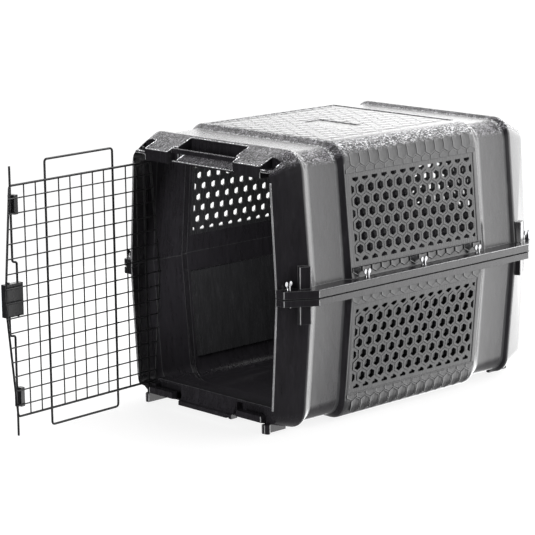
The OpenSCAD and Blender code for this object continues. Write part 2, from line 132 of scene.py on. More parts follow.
def make_camera():
    """The photo's viewpoint: a long lens in front of the object, to its right and a little above it."""
    level = math.cos(CAMERA_DIP)
    forward = Vector((-math.sin(CAMERA_TURN) * level, math.cos(CAMERA_TURN) * level, -math.sin(CAMERA_DIP)))
    flat_right = Vector((math.cos(CAMERA_TURN), math.sin(CAMERA_TURN), 0))
    flat_down = forward.cross(flat_right)
    right = flat_right * math.cos(CAMERA_ROLL) + flat_down * math.sin(CAMERA_ROLL)
    down = -flat_right * math.sin(CAMERA_ROLL) + flat_down * math.cos(CAMERA_ROLL)
    data = bpy.data.cameras.new("camera")
    data.lens = CAMERA_LENS
    data.sensor_width = 36
    data.clip_end = 60
    camera = bpy.data.objects.new("camera", data)
    SCENE.collection.objects.link(camera)
    facing = Matrix((right, -down, -forward)).transposed().to_4x4()
    camera.matrix_world = Matrix.Translation(CAMERA_PLACE) @ facing
    SCENE.camera = camera


# ---------------------------------------------------------------- material helpers
def plug(tree, socket, value):
    """Links a socket to another one, or gives it a plain value."""
    if isinstance(value, bpy.types.NodeSocket):
        tree.links.new(value, socket)
    elif socket.type == "RGBA" and len(value) == 3:
        socket.default_value = (*value, 1)
    else:
        socket.default_value = value


def grey(value):
    """A plain number as a colour; a colour stays as it is."""
    return value if isinstance(value, tuple) else (value, value, value)


class Tree:
    """Short names for building a material's nodes. In a keyword, _ stands for a space."""

    def __init__(self, name):
        self.mat = bpy.data.materials.new(name)
        self.mat.use_nodes = True
        self.tree = self.mat.node_tree
        self.shader = self.tree.nodes["Principled BSDF"]
        self.coord = self.tree.nodes.new("ShaderNodeTexCoord").outputs["Object"]

    def node(self, kind, **sockets):
        made = self.tree.nodes.new("ShaderNode" + kind)
        for key, value in sockets.items():
            plug(self.tree, made.inputs[key.replace("_", " ")], value)
        return made

    def stretched(self, scale):
        """Object coordinates scaled by axis: a small number draws the pattern out along that axis."""
        return self.node("Mapping", Vector=self.coord, Scale=scale).outputs["Vector"]

    def noise(self, scale, detail, stretch=(1, 1, 1), rough=0.5, twist=0.0):
        """A cloudy pattern from 0 to 1; scale is about how many patches there are in a metre."""
        made = self.node("TexNoise", Vector=self.stretched(stretch), Scale=scale, Detail=detail,
                         Roughness=rough, Distortion=twist)
        return made.outputs["Fac"]

    def ramp(self, value, stops):
        """Colours or greys by value; stops are pairs of position and colour."""
        made = self.node("ValToRGB", Fac=value)
        elements = made.color_ramp.elements
        elements[1].position = stops[-1][0]
        elements[0].position = stops[0][0]
        for place, _ in stops[1:-1]:
            elements.new(place)
        for element, (_, colour) in zip(elements, stops):
            element.color = (*grey(colour), 1)
        return made.outputs["Color"]

    def bump(self, height, strength, depth, **normal):
        """Relief of this depth; Normal= gives the relief that it is laid over."""
        return self.node("Bump", Height=height, Strength=strength, Distance=depth, **normal).outputs["Normal"]

    def mix(self, share, first, second):
        """A colour share of the way from first to second. Sockets 0, 6 and 7 are its colour form's."""
        made = self.tree.nodes.new("ShaderNodeMix")
        made.data_type = "RGBA"
        for socket, value in zip((made.inputs[0], made.inputs[6], made.inputs[7]), (share, first, second)):
            plug(self.tree, socket, value)
        return made.outputs[2]

    def times(self, first, second):
        made = self.tree.nodes.new("ShaderNodeMath")
        made.operation = "MULTIPLY"
        plug(self.tree, made.inputs[0], first)
        plug(self.tree, made.inputs[1], second)
        return made.outputs[0]

    def finish(self, **sockets):
        """Sets the surface's own sockets and gives the material."""
        for key, value in sockets.items():
            plug(self.tree, self.shader.inputs[key.replace("_", " ")], value)
        return self.mat


def brighter(colour, times):
    return tuple(times * c for c in colour)


# ---------------------------------------------------------------- materials
def turned_over(t):
    """1 on the upper shoulders and chamfers, less on the flat roof, 0 on walls and in the lower half. It
    places the crushed relief and its painted highlight.
    """
    facing = t.node("SeparateXYZ", Vector=t.tree.nodes.new("ShaderNodeNewGeometry").outputs["Normal"])
    height = t.node("SeparateXYZ", Vector=t.coord)
    sloping = t.ramp(facing.outputs["Z"], [(0.35, 0.0), (0.66, 1.0), (0.96, 1.0), (0.995, 0.12)])
    high = t.ramp(height.outputs["Z"], [(0.42, 0.0), (0.46, 1.0)])
    return t.times(sloping, high)


# In each material, dark and light are the colour's extremes and rough the roughness's
def moulded(name, dark, light, rough, flow=0.5, streak=(9, 9, 1.2)):
    """Moulded plastic: flow streaks, scuffs, sink waves, fine grain, and a crushed pattern with
    broken highlights where the surface turns over the shoulders. These are partly real, from the relief and
    shine, and partly
    painted: the crushed pattern's pale patches there are a lighter colour painted in as sheen. flow is the
    crushed pattern's strength, and streak is how the streaks are stretched."""
    t = Tree(name)
    lines = t.noise(14, 6, stretch=streak, rough=0.7)
    scuffs = t.ramp(t.noise(60, 8, stretch=(1, 1, 0.35), rough=0.75), [(0.55, 0.0), (0.8, 0.5)])
    colour = t.ramp(lines, [(0.3, dark), (0.72, light)])
    colour = t.mix(scuffs, colour, brighter(light, 2.2))

    over = turned_over(t)
    crush = t.noise(210, 5, stretch=(1.0, 0.5, 0.8), rough=0.6, twist=2.2)
    # Painted highlight: pale patches of the crushed pattern, only on the surfaces that turn up over the
    # shoulders.
    pale = t.times(t.ramp(crush, [(0.5, 0.0), (0.6, 1.0)]), over)
    colour = t.mix(pale, colour, brighter(light, 9))

    waves = t.bump(t.noise(20, 3, stretch=(1, 1, 0.5)), strength=0.2, depth=2 * MM)
    crushed = t.bump(crush, strength=t.times(over, flow), depth=11 * MM, Normal=waves)
    grained = t.bump(t.noise(1500, 2), strength=0.12, depth=0.15 * MM, Normal=crushed)
    gloss = t.ramp(t.noise(30, 7, stretch=streak, rough=0.72), [(0.25, rough[0]), (0.75, rough[1])])
    shine = t.mix(over, grey(0.5), t.ramp(crush, [(0.44, 0.1), (0.56, 1.0)]))
    return t.finish(Base_Color=colour, Roughness=gloss, Normal=grained, Specular_IOR_Level=shine)


def metal(name, tone, rough):
    """Plated steel with fine pits and dull patches."""
    t = Tree(name)
    dull = t.noise(240, 6, rough=0.7)
    colour = t.ramp(dull, [(0.3, brighter(tone, 0.62)), (0.7, tone)])
    gloss = t.ramp(t.noise(420, 4), [(0.3, rough[0]), (0.7, rough[1])])
    pitted = t.bump(t.noise(2600, 3), strength=0.15, depth=0.1 * MM)
    return t.finish(Base_Color=colour, Metallic=1.0, Roughness=gloss, Normal=pitted)


def coated(name, dark, light, rough):
    """Wire with a baked coating: slight orange peel and worn spots."""
    t = Tree(name)
    rubs = t.ramp(t.noise(90, 6, rough=0.7), [(0.56, 0.0), (0.78, 0.6)])
    colour = t.mix(rubs, dark, light)
    gloss = t.ramp(t.noise(160, 4), [(0.3, rough[0]), (0.7, rough[1])])
    peel = t.bump(t.noise(1100, 2), strength=0.25, depth=0.1 * MM)
    return t.finish(Base_Color=colour, Roughness=gloss, Normal=peel, Metallic=0.15)


M_SHELL = moulded("shell_plastic", (0.014, 0.013, 0.015), (0.024, 0.0225, 0.026), (0.13, 0.25))
# Painted highlight: a lighter plastic for the rounded edges, standing in for light that the edges catch.
M_EDGE_HIGHLIGHT = moulded("shell_edge_highlight", (0.03, 0.03, 0.032), (0.07, 0.07, 0.073), (0.12, 0.24), flow=0.2)
# Painted highlight: a pale plastic for thin beads along outer edges, the carry bar's rounded edges and the
# ramp rib.
M_PAINTED_HIGHLIGHT = moulded("painted_highlight_edge", (0.16, 0.16, 0.165), (0.42, 0.42, 0.43), (0.2, 0.34), flow=0.1,
                 streak=(30, 30, 30))
M_VENT = moulded("vent_plastic", (0.018, 0.018, 0.019), (0.032, 0.032, 0.034), (0.2, 0.32))
M_TILE = moulded("tile_plastic", (0.018, 0.018, 0.019), (0.032, 0.032, 0.034), (0.14, 0.26), flow=0.35)
# Painted highlight: a lighter plastic for the raised rims of the tiles and grille borders.
M_RIM_HIGHLIGHT = moulded("tile_rim_highlight", (0.024, 0.024, 0.0255), (0.045, 0.045, 0.047), (0.12, 0.22), flow=0.3)
M_LATCH = moulded("latch_plastic", (0.010, 0.010, 0.011), (0.02, 0.02, 0.022), (0.22, 0.36))
M_STEEL = metal("bright_steel", (0.36, 0.36, 0.37), (0.08, 0.2))
M_SPRING = metal("spring_steel", (0.4, 0.4, 0.42), (0.25, 0.4))
M_WIRE = coated("coated_wire", (0.012, 0.012, 0.013), (0.06, 0.06, 0.065), (0.28, 0.5))


# ---------------------------------------------------------------- mesh helpers
WELD_GAP = 0.002 * MM
FLAT_ANGLE = math.radians(0.4)


def new_object(name, bm, mats, body):
    mesh = bpy.data.meshes.new(name)
    bm.to_mesh(mesh)
    bm.free()
    for mat in mats:
        mesh.materials.append(mat)
    ob = bpy.data.objects.new(name, mesh)
    SCENE.collection.objects.link(ob)
    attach(ob, body)
    return ob


def smooth(ob, degrees):
    """Smooth shading, with a crease wherever faces meet at more than this angle."""
    for polygon in ob.data.polygons:
        polygon.use_smooth = True
    ob.data.set_sharp_from_angle(angle=math.radians(degrees))


def face_outward(bm):
    bmesh.ops.recalc_face_normals(bm, faces=bm.faces)


def apply_modifiers(ob):
    deps = bpy.context.evaluated_depsgraph_get()
    deps.update()
    mesh = bpy.data.meshes.new_from_object(ob.evaluated_get(deps), depsgraph=deps)
    old = ob.data
    ob.modifiers.clear()
    ob.data = mesh
    bpy.data.meshes.remove(old)


def plain_copy(node):
    """The CAD node's surface, with its triangles welded and its flat faces made whole."""
    source = NODES[node].data
    bm = bmesh.new()
    verts = [bm.verts.new(v.co) for v in source.vertices]
    for polygon in source.polygons:
        try:
            bm.faces.new([verts[i] for i in polygon.vertices])
        except ValueError:
            pass  # a face that is there already
    bmesh.ops.remove_doubles(bm, verts=bm.verts, dist=WELD_GAP)
    bmesh.ops.dissolve_limit(bm, angle_limit=FLAT_ANGLE, verts=bm.verts, edges=bm.edges)
    return bm


def join_rows(bm, rows):
    """Faces between closed rows of vertices, each row joined to the next; gives them row by row."""
    bands = []
    for near, far in zip(rows, rows[1:]):
        count = len(near)
        quads = [(near[k], near[(k + 1) % count], far[(k + 1) % count], far[k]) for k in range(count)]
        bands.append([bm.faces.new(quad) for quad in quads])
    return bands


def fan(bm, row, tip):
    """Closes a row of vertices with triangles to one point."""
    for k in range(len(row)):
        bm.faces.new((row[k], row[(k + 1) % len(row)], tip))


# ---------------------------------------------------------------- softened copies of the CAD nodes
DOOR_SLOTS_Y = -0.29
HEADER_SLOTS_Z = 0.47
SILL_SLOTS_Z = 0.045


def weigh(bm, sharp):
    """Marks the edges that get a fine rounding: not those of the slots that the closed door sits in."""
    layer = bm.edges.layers.float.new("bevel_weight_edge")
    for e in bm.edges:
        a, b = e.verts[0].co, e.verts[1].co
        at_slot_height = max(a.z, b.z) > HEADER_SLOTS_Z or min(a.z, b.z) < SILL_SLOTS_Z
        near_door = max(a.y, b.y) < DOOR_SLOTS_Y and at_slot_height
        if len(e.link_faces) == 2 and e.calc_face_angle(0) > math.radians(sharp) and not near_door:
            e[layer] = 1.0


def refine(node, mats, body, width=0.0, sharp=30, segments=2, shape=None):
    """A softened copy of a CAD node that stands in for it. Edges sharper than sharp degrees are
    rounded by width, in the second material, whose lighter colour paints a highlight on the rounding; shape
    is a function that works on the mesh first."""
    bm = plain_copy(node)
    if shape:
        shape(bm)
        weigh(bm, sharp)
    ob = new_object(node + "_skin", bm, mats, body)
    smooth(ob, sharp)
    if width:
        soft = ob.modifiers.new("soft", "BEVEL")
        soft.width = width
        soft.segments = segments
        soft.limit_method = "WEIGHT" if shape else "ANGLE"
        soft.angle_limit = math.radians(sharp)
        soft.use_clamp_overlap = False
        soft.harden_normals = True
        if len(mats) > 1:
            soft.material = 1
        apply_modifiers(ob)
    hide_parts(node)
    return ob


# Which edges of the steps are rounded: how near they are to their plane and to the outer surface,
# how long and how sharp they are, and where the shoulders are by distance from the middle and rise
STEP_GAP = 0.0002
SURFACE_GAP = 0.0012
STEP_SHORTEST = 0.002
STEP_ROUND = 0.0042
STEP_SHARP = math.radians(7)
SHOULDER_FROM = (0.15, 0.215)
SHOULDER_BELOW_ROOF = 0.0015


def on_outside(mid, half, drop):
    """Whether a point of a step is on the body's outer wall, roof, floor or shoulder."""
    rise = abs(mid.z - PARTING)
    top = ROOF_RISE - drop
    on_wall = abs(abs(mid.x) - (half - WALL_LEAN * rise)) < SURFACE_GAP
    on_roof = abs(rise - top) < SURFACE_GAP
    on_floor = abs(mid.z - drop) < SURFACE_GAP
    past_wall = abs(mid.x) > SHOULDER_FROM[0] and rise > SHOULDER_FROM[1]
    on_shoulder = past_wall and rise <= top - SHOULDER_BELOW_ROOF
    return on_wall or on_roof or on_floor or on_shoulder


def station_edges(bm):
    """Rounds the outer edges that run round the body at each of its steps, and gives the rounding the second,
    lighter material as a painted highlight.
    """
    found = []
    for e in bm.edges:
        a, b = e.verts[0].co, e.verts[1].co
        if (a - b).length < STEP_SHORTEST or len(e.link_faces) != 2:
            continue
        mid = (a + b) / 2
        for y, half, drop in STEPS:
            if abs(abs(a.y) - y) > STEP_GAP or abs(abs(b.y) - y) > STEP_GAP:
                continue
            away = Vector((mid.x, 0, mid.z - PARTING))
            faces_out = sum((f.normal for f in e.link_faces), Vector()).dot(away) > 0
            if on_outside(mid, half, drop) and faces_out and e.calc_face_angle(0) > STEP_SHARP:
                found.append(e)
    if found:
        bmesh.ops.bevel(bm, geom=found, offset=STEP_ROUND, offset_type="OFFSET", segments=4, profile=0.5,
                        affect="EDGES", clamp_overlap=True, material=1)


NUT_STRETCH = 1.25


def taller_nuts(nuts):
    """Draws the wing nuts up from where they sit."""
    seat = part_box(nuts)[0][2]
    for v in bpy.data.objects[nuts + "_skin"].data.vertices:
        v.co.z = seat + (v.co.z - seat) * NUT_STRETCH


# ---------------------------------------------------------------- painted edge highlights
BEAD_R = 0.0011
BEAD_SIDES = 8
BEAD_SHORTEST = 0.009
BEAD_INSET = 0.7
BEAD_SHARP = math.radians(28)
LEVEL_GAP = 0.0001
# Where the edges with painted highlights are. FRONT is the rearmost y, ABOVE the lowest z, OUTSIDE the least
# distance from the middle, and FLANGE_FACE the distance from the parting plane.
HEADER_FRONT = -0.2995
HEADER_ABOVE = 0.4885
JAMB_FRONT = -0.3535
JAMB_OUTSIDE = 0.15
FLANGE_OUTSIDE = 0.2465
FLANGE_FACE = (0.014, 0.02)
GUSSET_OUTSIDE = 0.2
GUSSET_Y = (0.26, 0.34)
GUSSET_Z = (0.19, 0.345)


def gets_painted_highlight(e):
    """True for an outer edge that gets a pale bead as a painted highlight."""
    a, b = e.verts[0].co, e.verts[1].co
    if len(e.link_faces) != 2 or (a - b).length < BEAD_SHORTEST or not e.is_convex:
        return False
    low, high = sorted((a.z, b.z))
    rearmost = max(a.y, b.y)
    innermost = min(abs(a.x), abs(b.x))
    level = high - low < LEVEL_GAP
    header = rearmost < HEADER_FRONT and low > HEADER_ABOVE
    jamb = rearmost < JAMB_FRONT and innermost > JAMB_OUTSIDE and not level
    from_parting = abs(a.z - PARTING)
    flange = level and innermost > FLANGE_OUTSIDE and FLANGE_FACE[0] < from_parting < FLANGE_FACE[1]
    by_gusset = innermost > GUSSET_OUTSIDE and GUSSET_Y[0] < abs(a.y) < GUSSET_Y[1]
    gusset = by_gusset and not level and low > GUSSET_Z[0] and high < GUSSET_Z[1]
    return (header or jamb or flange or gusset) and e.calc_face_angle(0) > BEAD_SHARP


def bead(bm, a, b, inward):
    """A thin round bar from a to b with pointed ends, set into the surface."""
    along = (b - a).normalized()
    u = along.orthogonal().normalized()
    w = along.cross(u)
    rows = []
    for centre in (a + along * BEAD_R, b - along * BEAD_R):
        row = []
        for k in range(BEAD_SIDES):
            turn = 2 * math.pi * k / BEAD_SIDES
            row.append(bm.verts.new(centre + inward + (u * math.cos(turn) + w * math.sin(turn)) * BEAD_R))
        rows.append(row)
    join_rows(bm, rows)
    fan(bm, rows[0][::-1], bm.verts.new(a + inward))
    fan(bm, rows[1], bm.verts.new(b + inward))


def edge_highlight_beads(nodes):
    """A thin pale bead along each chosen outer edge, a painted highlight, kept within the CAD model's width.
    """
    bm = bmesh.new()
    for node in nodes:
        source = plain_copy(node)
        for e in filter(gets_painted_highlight, source.edges):
            out = sum((f.normal for f in e.link_faces), Vector()).normalized()
            bead(bm, e.verts[0].co.copy(), e.verts[1].co.copy(), -out * BEAD_INSET * BEAD_R)
        source.free()
    limit = cad_box[1][0]
    for v in bm.verts:
        v.co.x = max(-limit, min(limit, v.co.x))
    face_outward(bm)
    ob = new_object("painted_edge_highlights", bm, [M_PAINTED_HIGHLIGHT], "shell")
    smooth(ob, 60)


# ---------------------------------------------------------------- raised tiles
TILE_HALF = PITCH / 2 - 0.0003
TILE_FIELD_HALF = 0.172
TILE_EDGE_POINTS = 4
# Tiles of a side, by how far up the surface they are. A shoulder tile: middle, half length, half side
SHOULDER_TILE = (0.2415, 0.0176, 0.0108)
# Half tiles: base, eaves and tip
CREST_GABLE = (0.2152, 0.2228, 0.2296)
UPPER_SILL_GABLE = (0.0368, 0.0275, 0.0205)
LOWER_SILL_GABLE = (0.0148, 0.0285, 0.0362)
# How proud each kind stands
SHOULDER_PROUD = 0.0008
CREST_PROUD = 0.0007
UPPER_SILL_PROUD = 0.0022
LOWER_SILL_PROUD = 0.0009


def surface(u, y, side, top, h):
    """A point h proud of the centre section. u runs up the wall from the parting plane, over the
    shoulder and along the roof; side is 1 on the right and -1 on the left; top is 1 in the upper half
    and 0 in the lower half, which mirrors it."""
    if u < WALL_LENGTH:
        x, z = CENTRE_HALF - u * math.sin(TILT), u * math.cos(TILT)
        normal = Vector((math.cos(TILT), 0, math.sin(TILT)))
    elif u < WALL_LENGTH + ARC_LENGTH:
        a = TILT + (u - WALL_LENGTH) / SHOULDER_R
        x, z = ARC_X + SHOULDER_R * math.cos(a), ARC_RISE + SHOULDER_R * math.sin(a)
        normal = Vector((math.cos(a), 0, math.sin(a)))
    else:
        x, z = ARC_X - (u - WALL_LENGTH - ARC_LENGTH), ROOF_RISE
        normal = Vector((0, 0, 1))
    p = Vector((x, y, z)) + normal * h
    return Vector((side * p.x, p.y, PARTING + (p.z if top else -p.z)))


def tile(bm, place, outline, proud, soft=0.0016, sink=0.0006):
    """A raised plate with a rounded rim that stands highest. outline is its shape in the surface's own
    plane, place gives the point at (u, y) and a height, and soft is how wide the rim is."""
    points = []
    for k, corner in enumerate(outline):
        a, b = Vector(corner), Vector(outline[(k + 1) % len(outline)])
        points += [a.lerp(b, step / TILE_EDGE_POINTS) for step in range(TILE_EDGE_POINTS)]
    mid = sum(points, Vector((0, 0))) / len(points)
    reach = min((p - mid).length for p in points)
    # Pairs: distance in from the outline, and height there
    levels = [(0.0, -sink), (0.22 * soft, 0.7 * proud), (0.6 * soft, proud), (1.3 * soft, 0.72 * proud),
              (2.1 * soft, 0.55 * proud), (0.5 * reach, 0.5 * proud)]
    rows = []
    for inset, h in levels:
        drawn_in = [p + (mid - p) * (inset / (p - mid).length) for p in points]
        rows.append([bm.verts.new(place(p.x, p.y, h)) for p in drawn_in])
    bands = join_rows(bm, rows)
    # The rim's highest bands take the second material, which for the shoulder and sill tiles is a lighter
    # colour painted in as a highlight.
    for face in bands[1] + bands[2]:
        face.material_index = 1
    fan(bm, rows[-1], bm.verts.new(place(mid.x, mid.y, proud * 0.5)))


def hexagon(u, y, half_y, half_u, shoulder):
    """Six corners of a hexagon round (u, y). It points up and down the surface, and has two straight
    sides of twice shoulder."""
    return [(u - shoulder, y - half_y), (u - half_u, y), (u - shoulder, y + half_y),
            (u + shoulder, y + half_y), (u + half_u, y), (u + shoulder, y - half_y)]


def gable(base, eaves, tip, y):
    """Five corners of a half hexagon: a flat base and a point."""
    return [(base, y - TILE_HALF), (base, y + TILE_HALF), (eaves, y + TILE_HALF), (tip, y),
            (eaves, y - TILE_HALF)]


def wall_tiles(side, top):
    """The hexagons over one shoulder, and the half ones above and below that side's grille."""
    bm = bmesh.new()

    def place(u, y, h):
        return surface(u, y, side, top, h)

    middle, half, shoulder = SHOULDER_TILE
    for i in range(-6, 7):
        tile(bm, place, hexagon(middle, i * PITCH, TILE_HALF, half, shoulder), SHOULDER_PROUD)
    between = [(i + 0.5) * PITCH for i in range(-7, 7)]
    for y in [y for y in between if abs(y) <= TILE_FIELD_HALF]:
        tile(bm, place, gable(*CREST_GABLE, y), CREST_PROUD)
        if top:
            tile(bm, place, gable(*UPPER_SILL_GABLE, y), UPPER_SILL_PROUD, soft=0.0010)
        else:
            tile(bm, place, gable(*LOWER_SILL_GABLE, y), LOWER_SILL_PROUD)
    face_outward(bm)
    name = "%s_tiles_%s" % ("upper" if top else "lower", "right" if side > 0 else "left")
    ob = new_object(name, bm, [M_TILE, M_RIM_HIGHLIGHT], "shell")
    smooth(ob, 50)


ROOF_FIELD = (0.1668, 0.164)
ROOF_PROUD = 0.00045
ROOF_TILE_POINT = 0.0148
ROOF_TILE_SHOULDER = 0.0074
RECESS_MARGIN = 0.012


def over_recess(x, y):
    """Whether a roof tile would lie over the small recess or too near it."""
    across = abs(x - RECESS_MID[0]) < RECESS_HALF[0] + RECESS_MARGIN
    along = abs(y - RECESS_MID[1]) < RECESS_HALF[1] + RECESS_MARGIN
    return across and along


def roof_tiles():
    """Low hexagons in the roof's relief, cut short at its sides. Their rims have the tiles' finish."""
    bm = bmesh.new()

    def place(x, y, h):
        return Vector((x, y, PARTING + ROOF_RISE - RELIEF_DEPTH + h))

    for column in range(-7, 8):
        x = column * ROW_PITCH
        half = min(ROOF_TILE_POINT, ROOF_FIELD[0] - abs(x))
        shoulder = min(ROOF_TILE_SHOULDER, half * 0.8)
        for i in range(-7, 8):
            y = (i + (column % 2) / 2) * PITCH
            if abs(y) <= ROOF_FIELD[1] and not over_recess(x, y):
                outline = hexagon(x, y, TILE_HALF, half, shoulder)
                tile(bm, place, outline, ROOF_PROUD, soft=0.0014, sink=0.0002)
    face_outward(bm)
    ob = new_object("roof_tiles", bm, [M_TILE, M_TILE], "shell")
    smooth(ob, 50)


# ---------------------------------------------------------------- side grilles
FULL_ROWS = range(1, 7)
ROW_HOLES = range(-8, 9)
BORDER_ROW_HOLES = range(-6, 7)
BORDER_REACH = 6.01 * PITCH
BORDER_HALF = PITCH / 2 - 0.0002
BORDER_POINT = PITCH / math.sqrt(3) - 0.00023
BORDER_SHOULDER = PITCH / math.sqrt(12) - 0.00012
HOLE_HALF = 0.0079
HOLE_POINT = 0.00912
HOLE_SHOULDER = 0.00456
# The stretch of a panel where its holes are, and how far in its back is
PANEL_BACK = -0.0045
PANEL_HALF = 0.1752
PANEL_LOW = 0.0389
PANEL_HIGH = 0.2130
HOLE_REACH = 0.0096
HOLE_TAPER = 0.79


def hole_centre(row, i):
    """Where hole i of a row is: along the body, and up the wall."""
    return (i + (row % 2) / 2) * PITCH, TOP_ROW - row * ROW_PITCH


def borders(node, side, top):
    """The raised hexagonal border round each full hole of a grille."""
    bm = bmesh.new()
    outer = hexagon(0, 0, BORDER_HALF, BORDER_POINT, BORDER_SHOULDER)
    inner = hexagon(0, 0, HOLE_HALF, HOLE_POINT, HOLE_SHOULDER)
    # Pairs: share of the way from the outer outline to the inner one, and height there
    levels = [(0.0, -0.0004), (0.07, 0.0002), (0.2, 0.00028), (0.32, 0.0001), (0.94, 0.0001), (1.0, -0.0006)]
    for row in FULL_ROWS:
        for i in BORDER_ROW_HOLES:
            y, u = hole_centre(row, i)
            if abs(y) > BORDER_REACH:
                continue
            rows = []
            for share, h in levels:
                outline = [(u + a[0] + (b[0] - a[0]) * share, y + a[1] + (b[1] - a[1]) * share)
                           for a, b in zip(outer, inner)]
                rows.append([bm.verts.new(surface(*p, side, top, h)) for p in outline])
            bands = join_rows(bm, rows)
            # The outer bands of each border take the lighter second material as a painted highlight.
            for face in bands[0] + bands[1]:
                face.material_index = 1
    face_outward(bm)
    if sum(face.normal.x * side for face in bm.faces) < 0:
        bmesh.ops.reverse_faces(bm, faces=bm.faces)
    new_object(node + "_borders", bm, [M_VENT, M_RIM_HIGHLIGHT], "shell")


def nearest_hole(y, u):
    """(distance, row, centre) of the hole that a point of the grille belongs to, or None."""
    found = []
    for row in range(HOLE_ROWS):
        for i in ROW_HOLES:
            centre = Vector(hole_centre(row, i))
            distance = (Vector((y, u)) - centre).length
            if distance < HOLE_REACH:
                found.append((distance, row, centre))
    return min(found, key=lambda hole: hole[0], default=None)


def taper_holes(bm, side):
    """Draws the back ends of the holes in towards their centres. The holes of the top and bottom rows
    are cut by the panel's edges, and there they keep their height."""
    for v in bm.verts:
        x, z = side * v.co.x - CENTRE_HALF, v.co.z - PARTING
        out = x * math.cos(TILT) + z * math.sin(TILT)
        u = z * math.cos(TILT) - x * math.sin(TILT)
        if out > PANEL_BACK or not PANEL_LOW < u < PANEL_HIGH or abs(v.co.y) > PANEL_HALF:
            continue
        hole = nearest_hole(v.co.y, u)
        if hole is None:
            continue
        _, row, centre = hole
        at_top_edge = row == 0 and u > centre.y - LEVEL_GAP
        at_bottom_edge = row == HOLE_ROWS - 1 and u < centre.y + LEVEL_GAP
        lift = 0.0 if at_top_edge or at_bottom_edge else centre.y + (u - centre.y) * HOLE_TAPER - u
        v.co.y = centre.x + (v.co.y - centre.x) * HOLE_TAPER
        v.co.x -= side * lift * math.sin(TILT)
        v.co.z += lift * math.cos(TILT)


def grille(level, hand):
    """One side grille. The holes of an upper one go through and narrow towards the inside; those of a
    lower one are blind pockets."""
    node = level + "_vent_" + hand
    side = 1 if hand == "right" else -1
    upper = level == "upper"
    bm = plain_copy(node)
    if upper:
        taper_holes(bm, side)
    ob = new_object(node + "_skin", bm, [M_VENT, M_EDGE_HIGHLIGHT], "shell")
    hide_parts(node)
    borders(node, side, upper)


# ---------------------------------------------------------------- rib under the carry bar
RIB_X = (-0.0795, -0.0755)
RIB_OUTLINE = [(-0.3435, 0.4912), (-0.3030, 0.5055), (-0.3030, 0.5095), (-0.3120, 0.5085), (-0.3435, 0.4955)]
RIB_ROUND = 0.0011


def ramp_rib():
    """A low stiffening rib up the ramp under the carry bar; its outline is front to back and up."""
    bm = bmesh.new()
    ends = [[bm.verts.new((x, y, z)) for y, z in RIB_OUTLINE] for x in RIB_X]
    join_rows(bm, ends)
    bm.faces.new(ends[0])
    bm.faces.new(ends[1][::-1])
    face_outward(bm)
    bmesh.ops.bevel(bm, geom=list(bm.edges), offset=RIB_ROUND, segments=3, profile=0.5, affect="EDGES")
    # The rib takes the pale painted-highlight material.
    ob = new_object("ramp_rib", bm, [M_PAINTED_HIGHLIGHT], "shell")
    smooth(ob, 40)


# ---------------------------------------------------------------- door
COIL_TURNS = 11
COIL_STEPS = 20
COIL_SIDES = 8
COIL_R = 0.00285
COIL_WIRE_R = 0.0004
WELD_Y = 0.0069
WELD_HALF = (0.0017, 0.0019, 0.0017)


def on_door(x, y, z):
    """A point given in the closed door's own directions, with x and y from the hinge."""
    c, s = math.cos(DOOR_TURN), math.sin(DOOR_TURN)
    return DOOR_AXIS + Vector((x * c - y * s, x * s + y * c, z))


def coil(node, x, span):
    """A wound spring round a latch rod, between two heights."""
    bm = bmesh.new()
    low, high = span[0] + COIL_WIRE_R, span[1] - COIL_WIRE_R
    count = COIL_TURNS * COIL_STEPS
    rows = []
    for k in range(count + 1):
        turn = 2 * math.pi * k / COIL_STEPS
        z = low + (high - low) * k / count
        row = []
        for q in range(COIL_SIDES):
            roll = 2 * math.pi * q / COIL_SIDES
            r = COIL_R + COIL_WIRE_R * math.cos(roll)
            at = on_door(x + r * math.cos(turn), ROD_Y + r * math.sin(turn), z + COIL_WIRE_R * math.sin(roll))
            row.append(bm.verts.new(at))
        rows.append(row)
    join_rows(bm, rows)
    bm.faces.new(rows[0])
    bm.faces.new(rows[-1][::-1])
    face_outward(bm)
    ob = new_object(node + "_coil", bm, [M_SPRING], "door")
    smooth(ob, 60)
    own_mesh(ob)
    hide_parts(node)


def welds():
    """The flattened bead at each crossing of the door mesh."""
    bm = bmesh.new()
    for row in range(MESH_ROWS):
        z = MESH_ROW_TOP - row * MESH_ROW_PITCH
        for column in range(MESH_COLUMNS):
            x = MESH_COLUMN_FIRST - column * MESH_COLUMN_PITCH
            for v in bmesh.ops.create_icosphere(bm, subdivisions=1, radius=1.0)["verts"]:
                part = [half * share for half, share in zip(WELD_HALF, v.co)]
                v.co = on_door(x + part[0], WELD_Y + part[1], z + part[2])
    ob = new_object("door_weld_beads", bm, [M_WIRE], "door")
    smooth(ob, 60)


# ---------------------------------------------------------------- the object
def make_shells():
    for node in ("top_shell", "bottom_shell"):
        refine(node, [M_SHELL, M_EDGE_HIGHLIGHT], "shell", 0.9 * MM, sharp=14, shape=station_edges)
    # The carry bar's rounded edges take the pale painted-highlight material.
    refine("carry_handle", [M_SHELL, M_PAINTED_HIGHLIGHT], "shell", 1.1 * MM)
    for level in ("upper", "lower"):
        for hand in ("right", "left"):
            grille(level, hand)
    refine("rear_vent", [M_VENT, M_EDGE_HIGHLIGHT], "shell", 0.45 * MM, segments=1)
    for top in (1, 0):
        for side in (1, -1):
            wall_tiles(side, top)
    roof_tiles()
    edge_highlight_beads(("top_shell", "bottom_shell", "carry_handle"))
    ramp_rib()


def make_fasteners():
    for part in ("side_bolts", "corner_bolts", "side_wing_nuts", "corner_wing_nuts", "nut_washers"):
        refine(part, [M_STEEL], "shell", 0.35 * MM, sharp=35)
    for nuts in ("side_wing_nuts", "corner_wing_nuts"):
        taller_nuts(nuts)


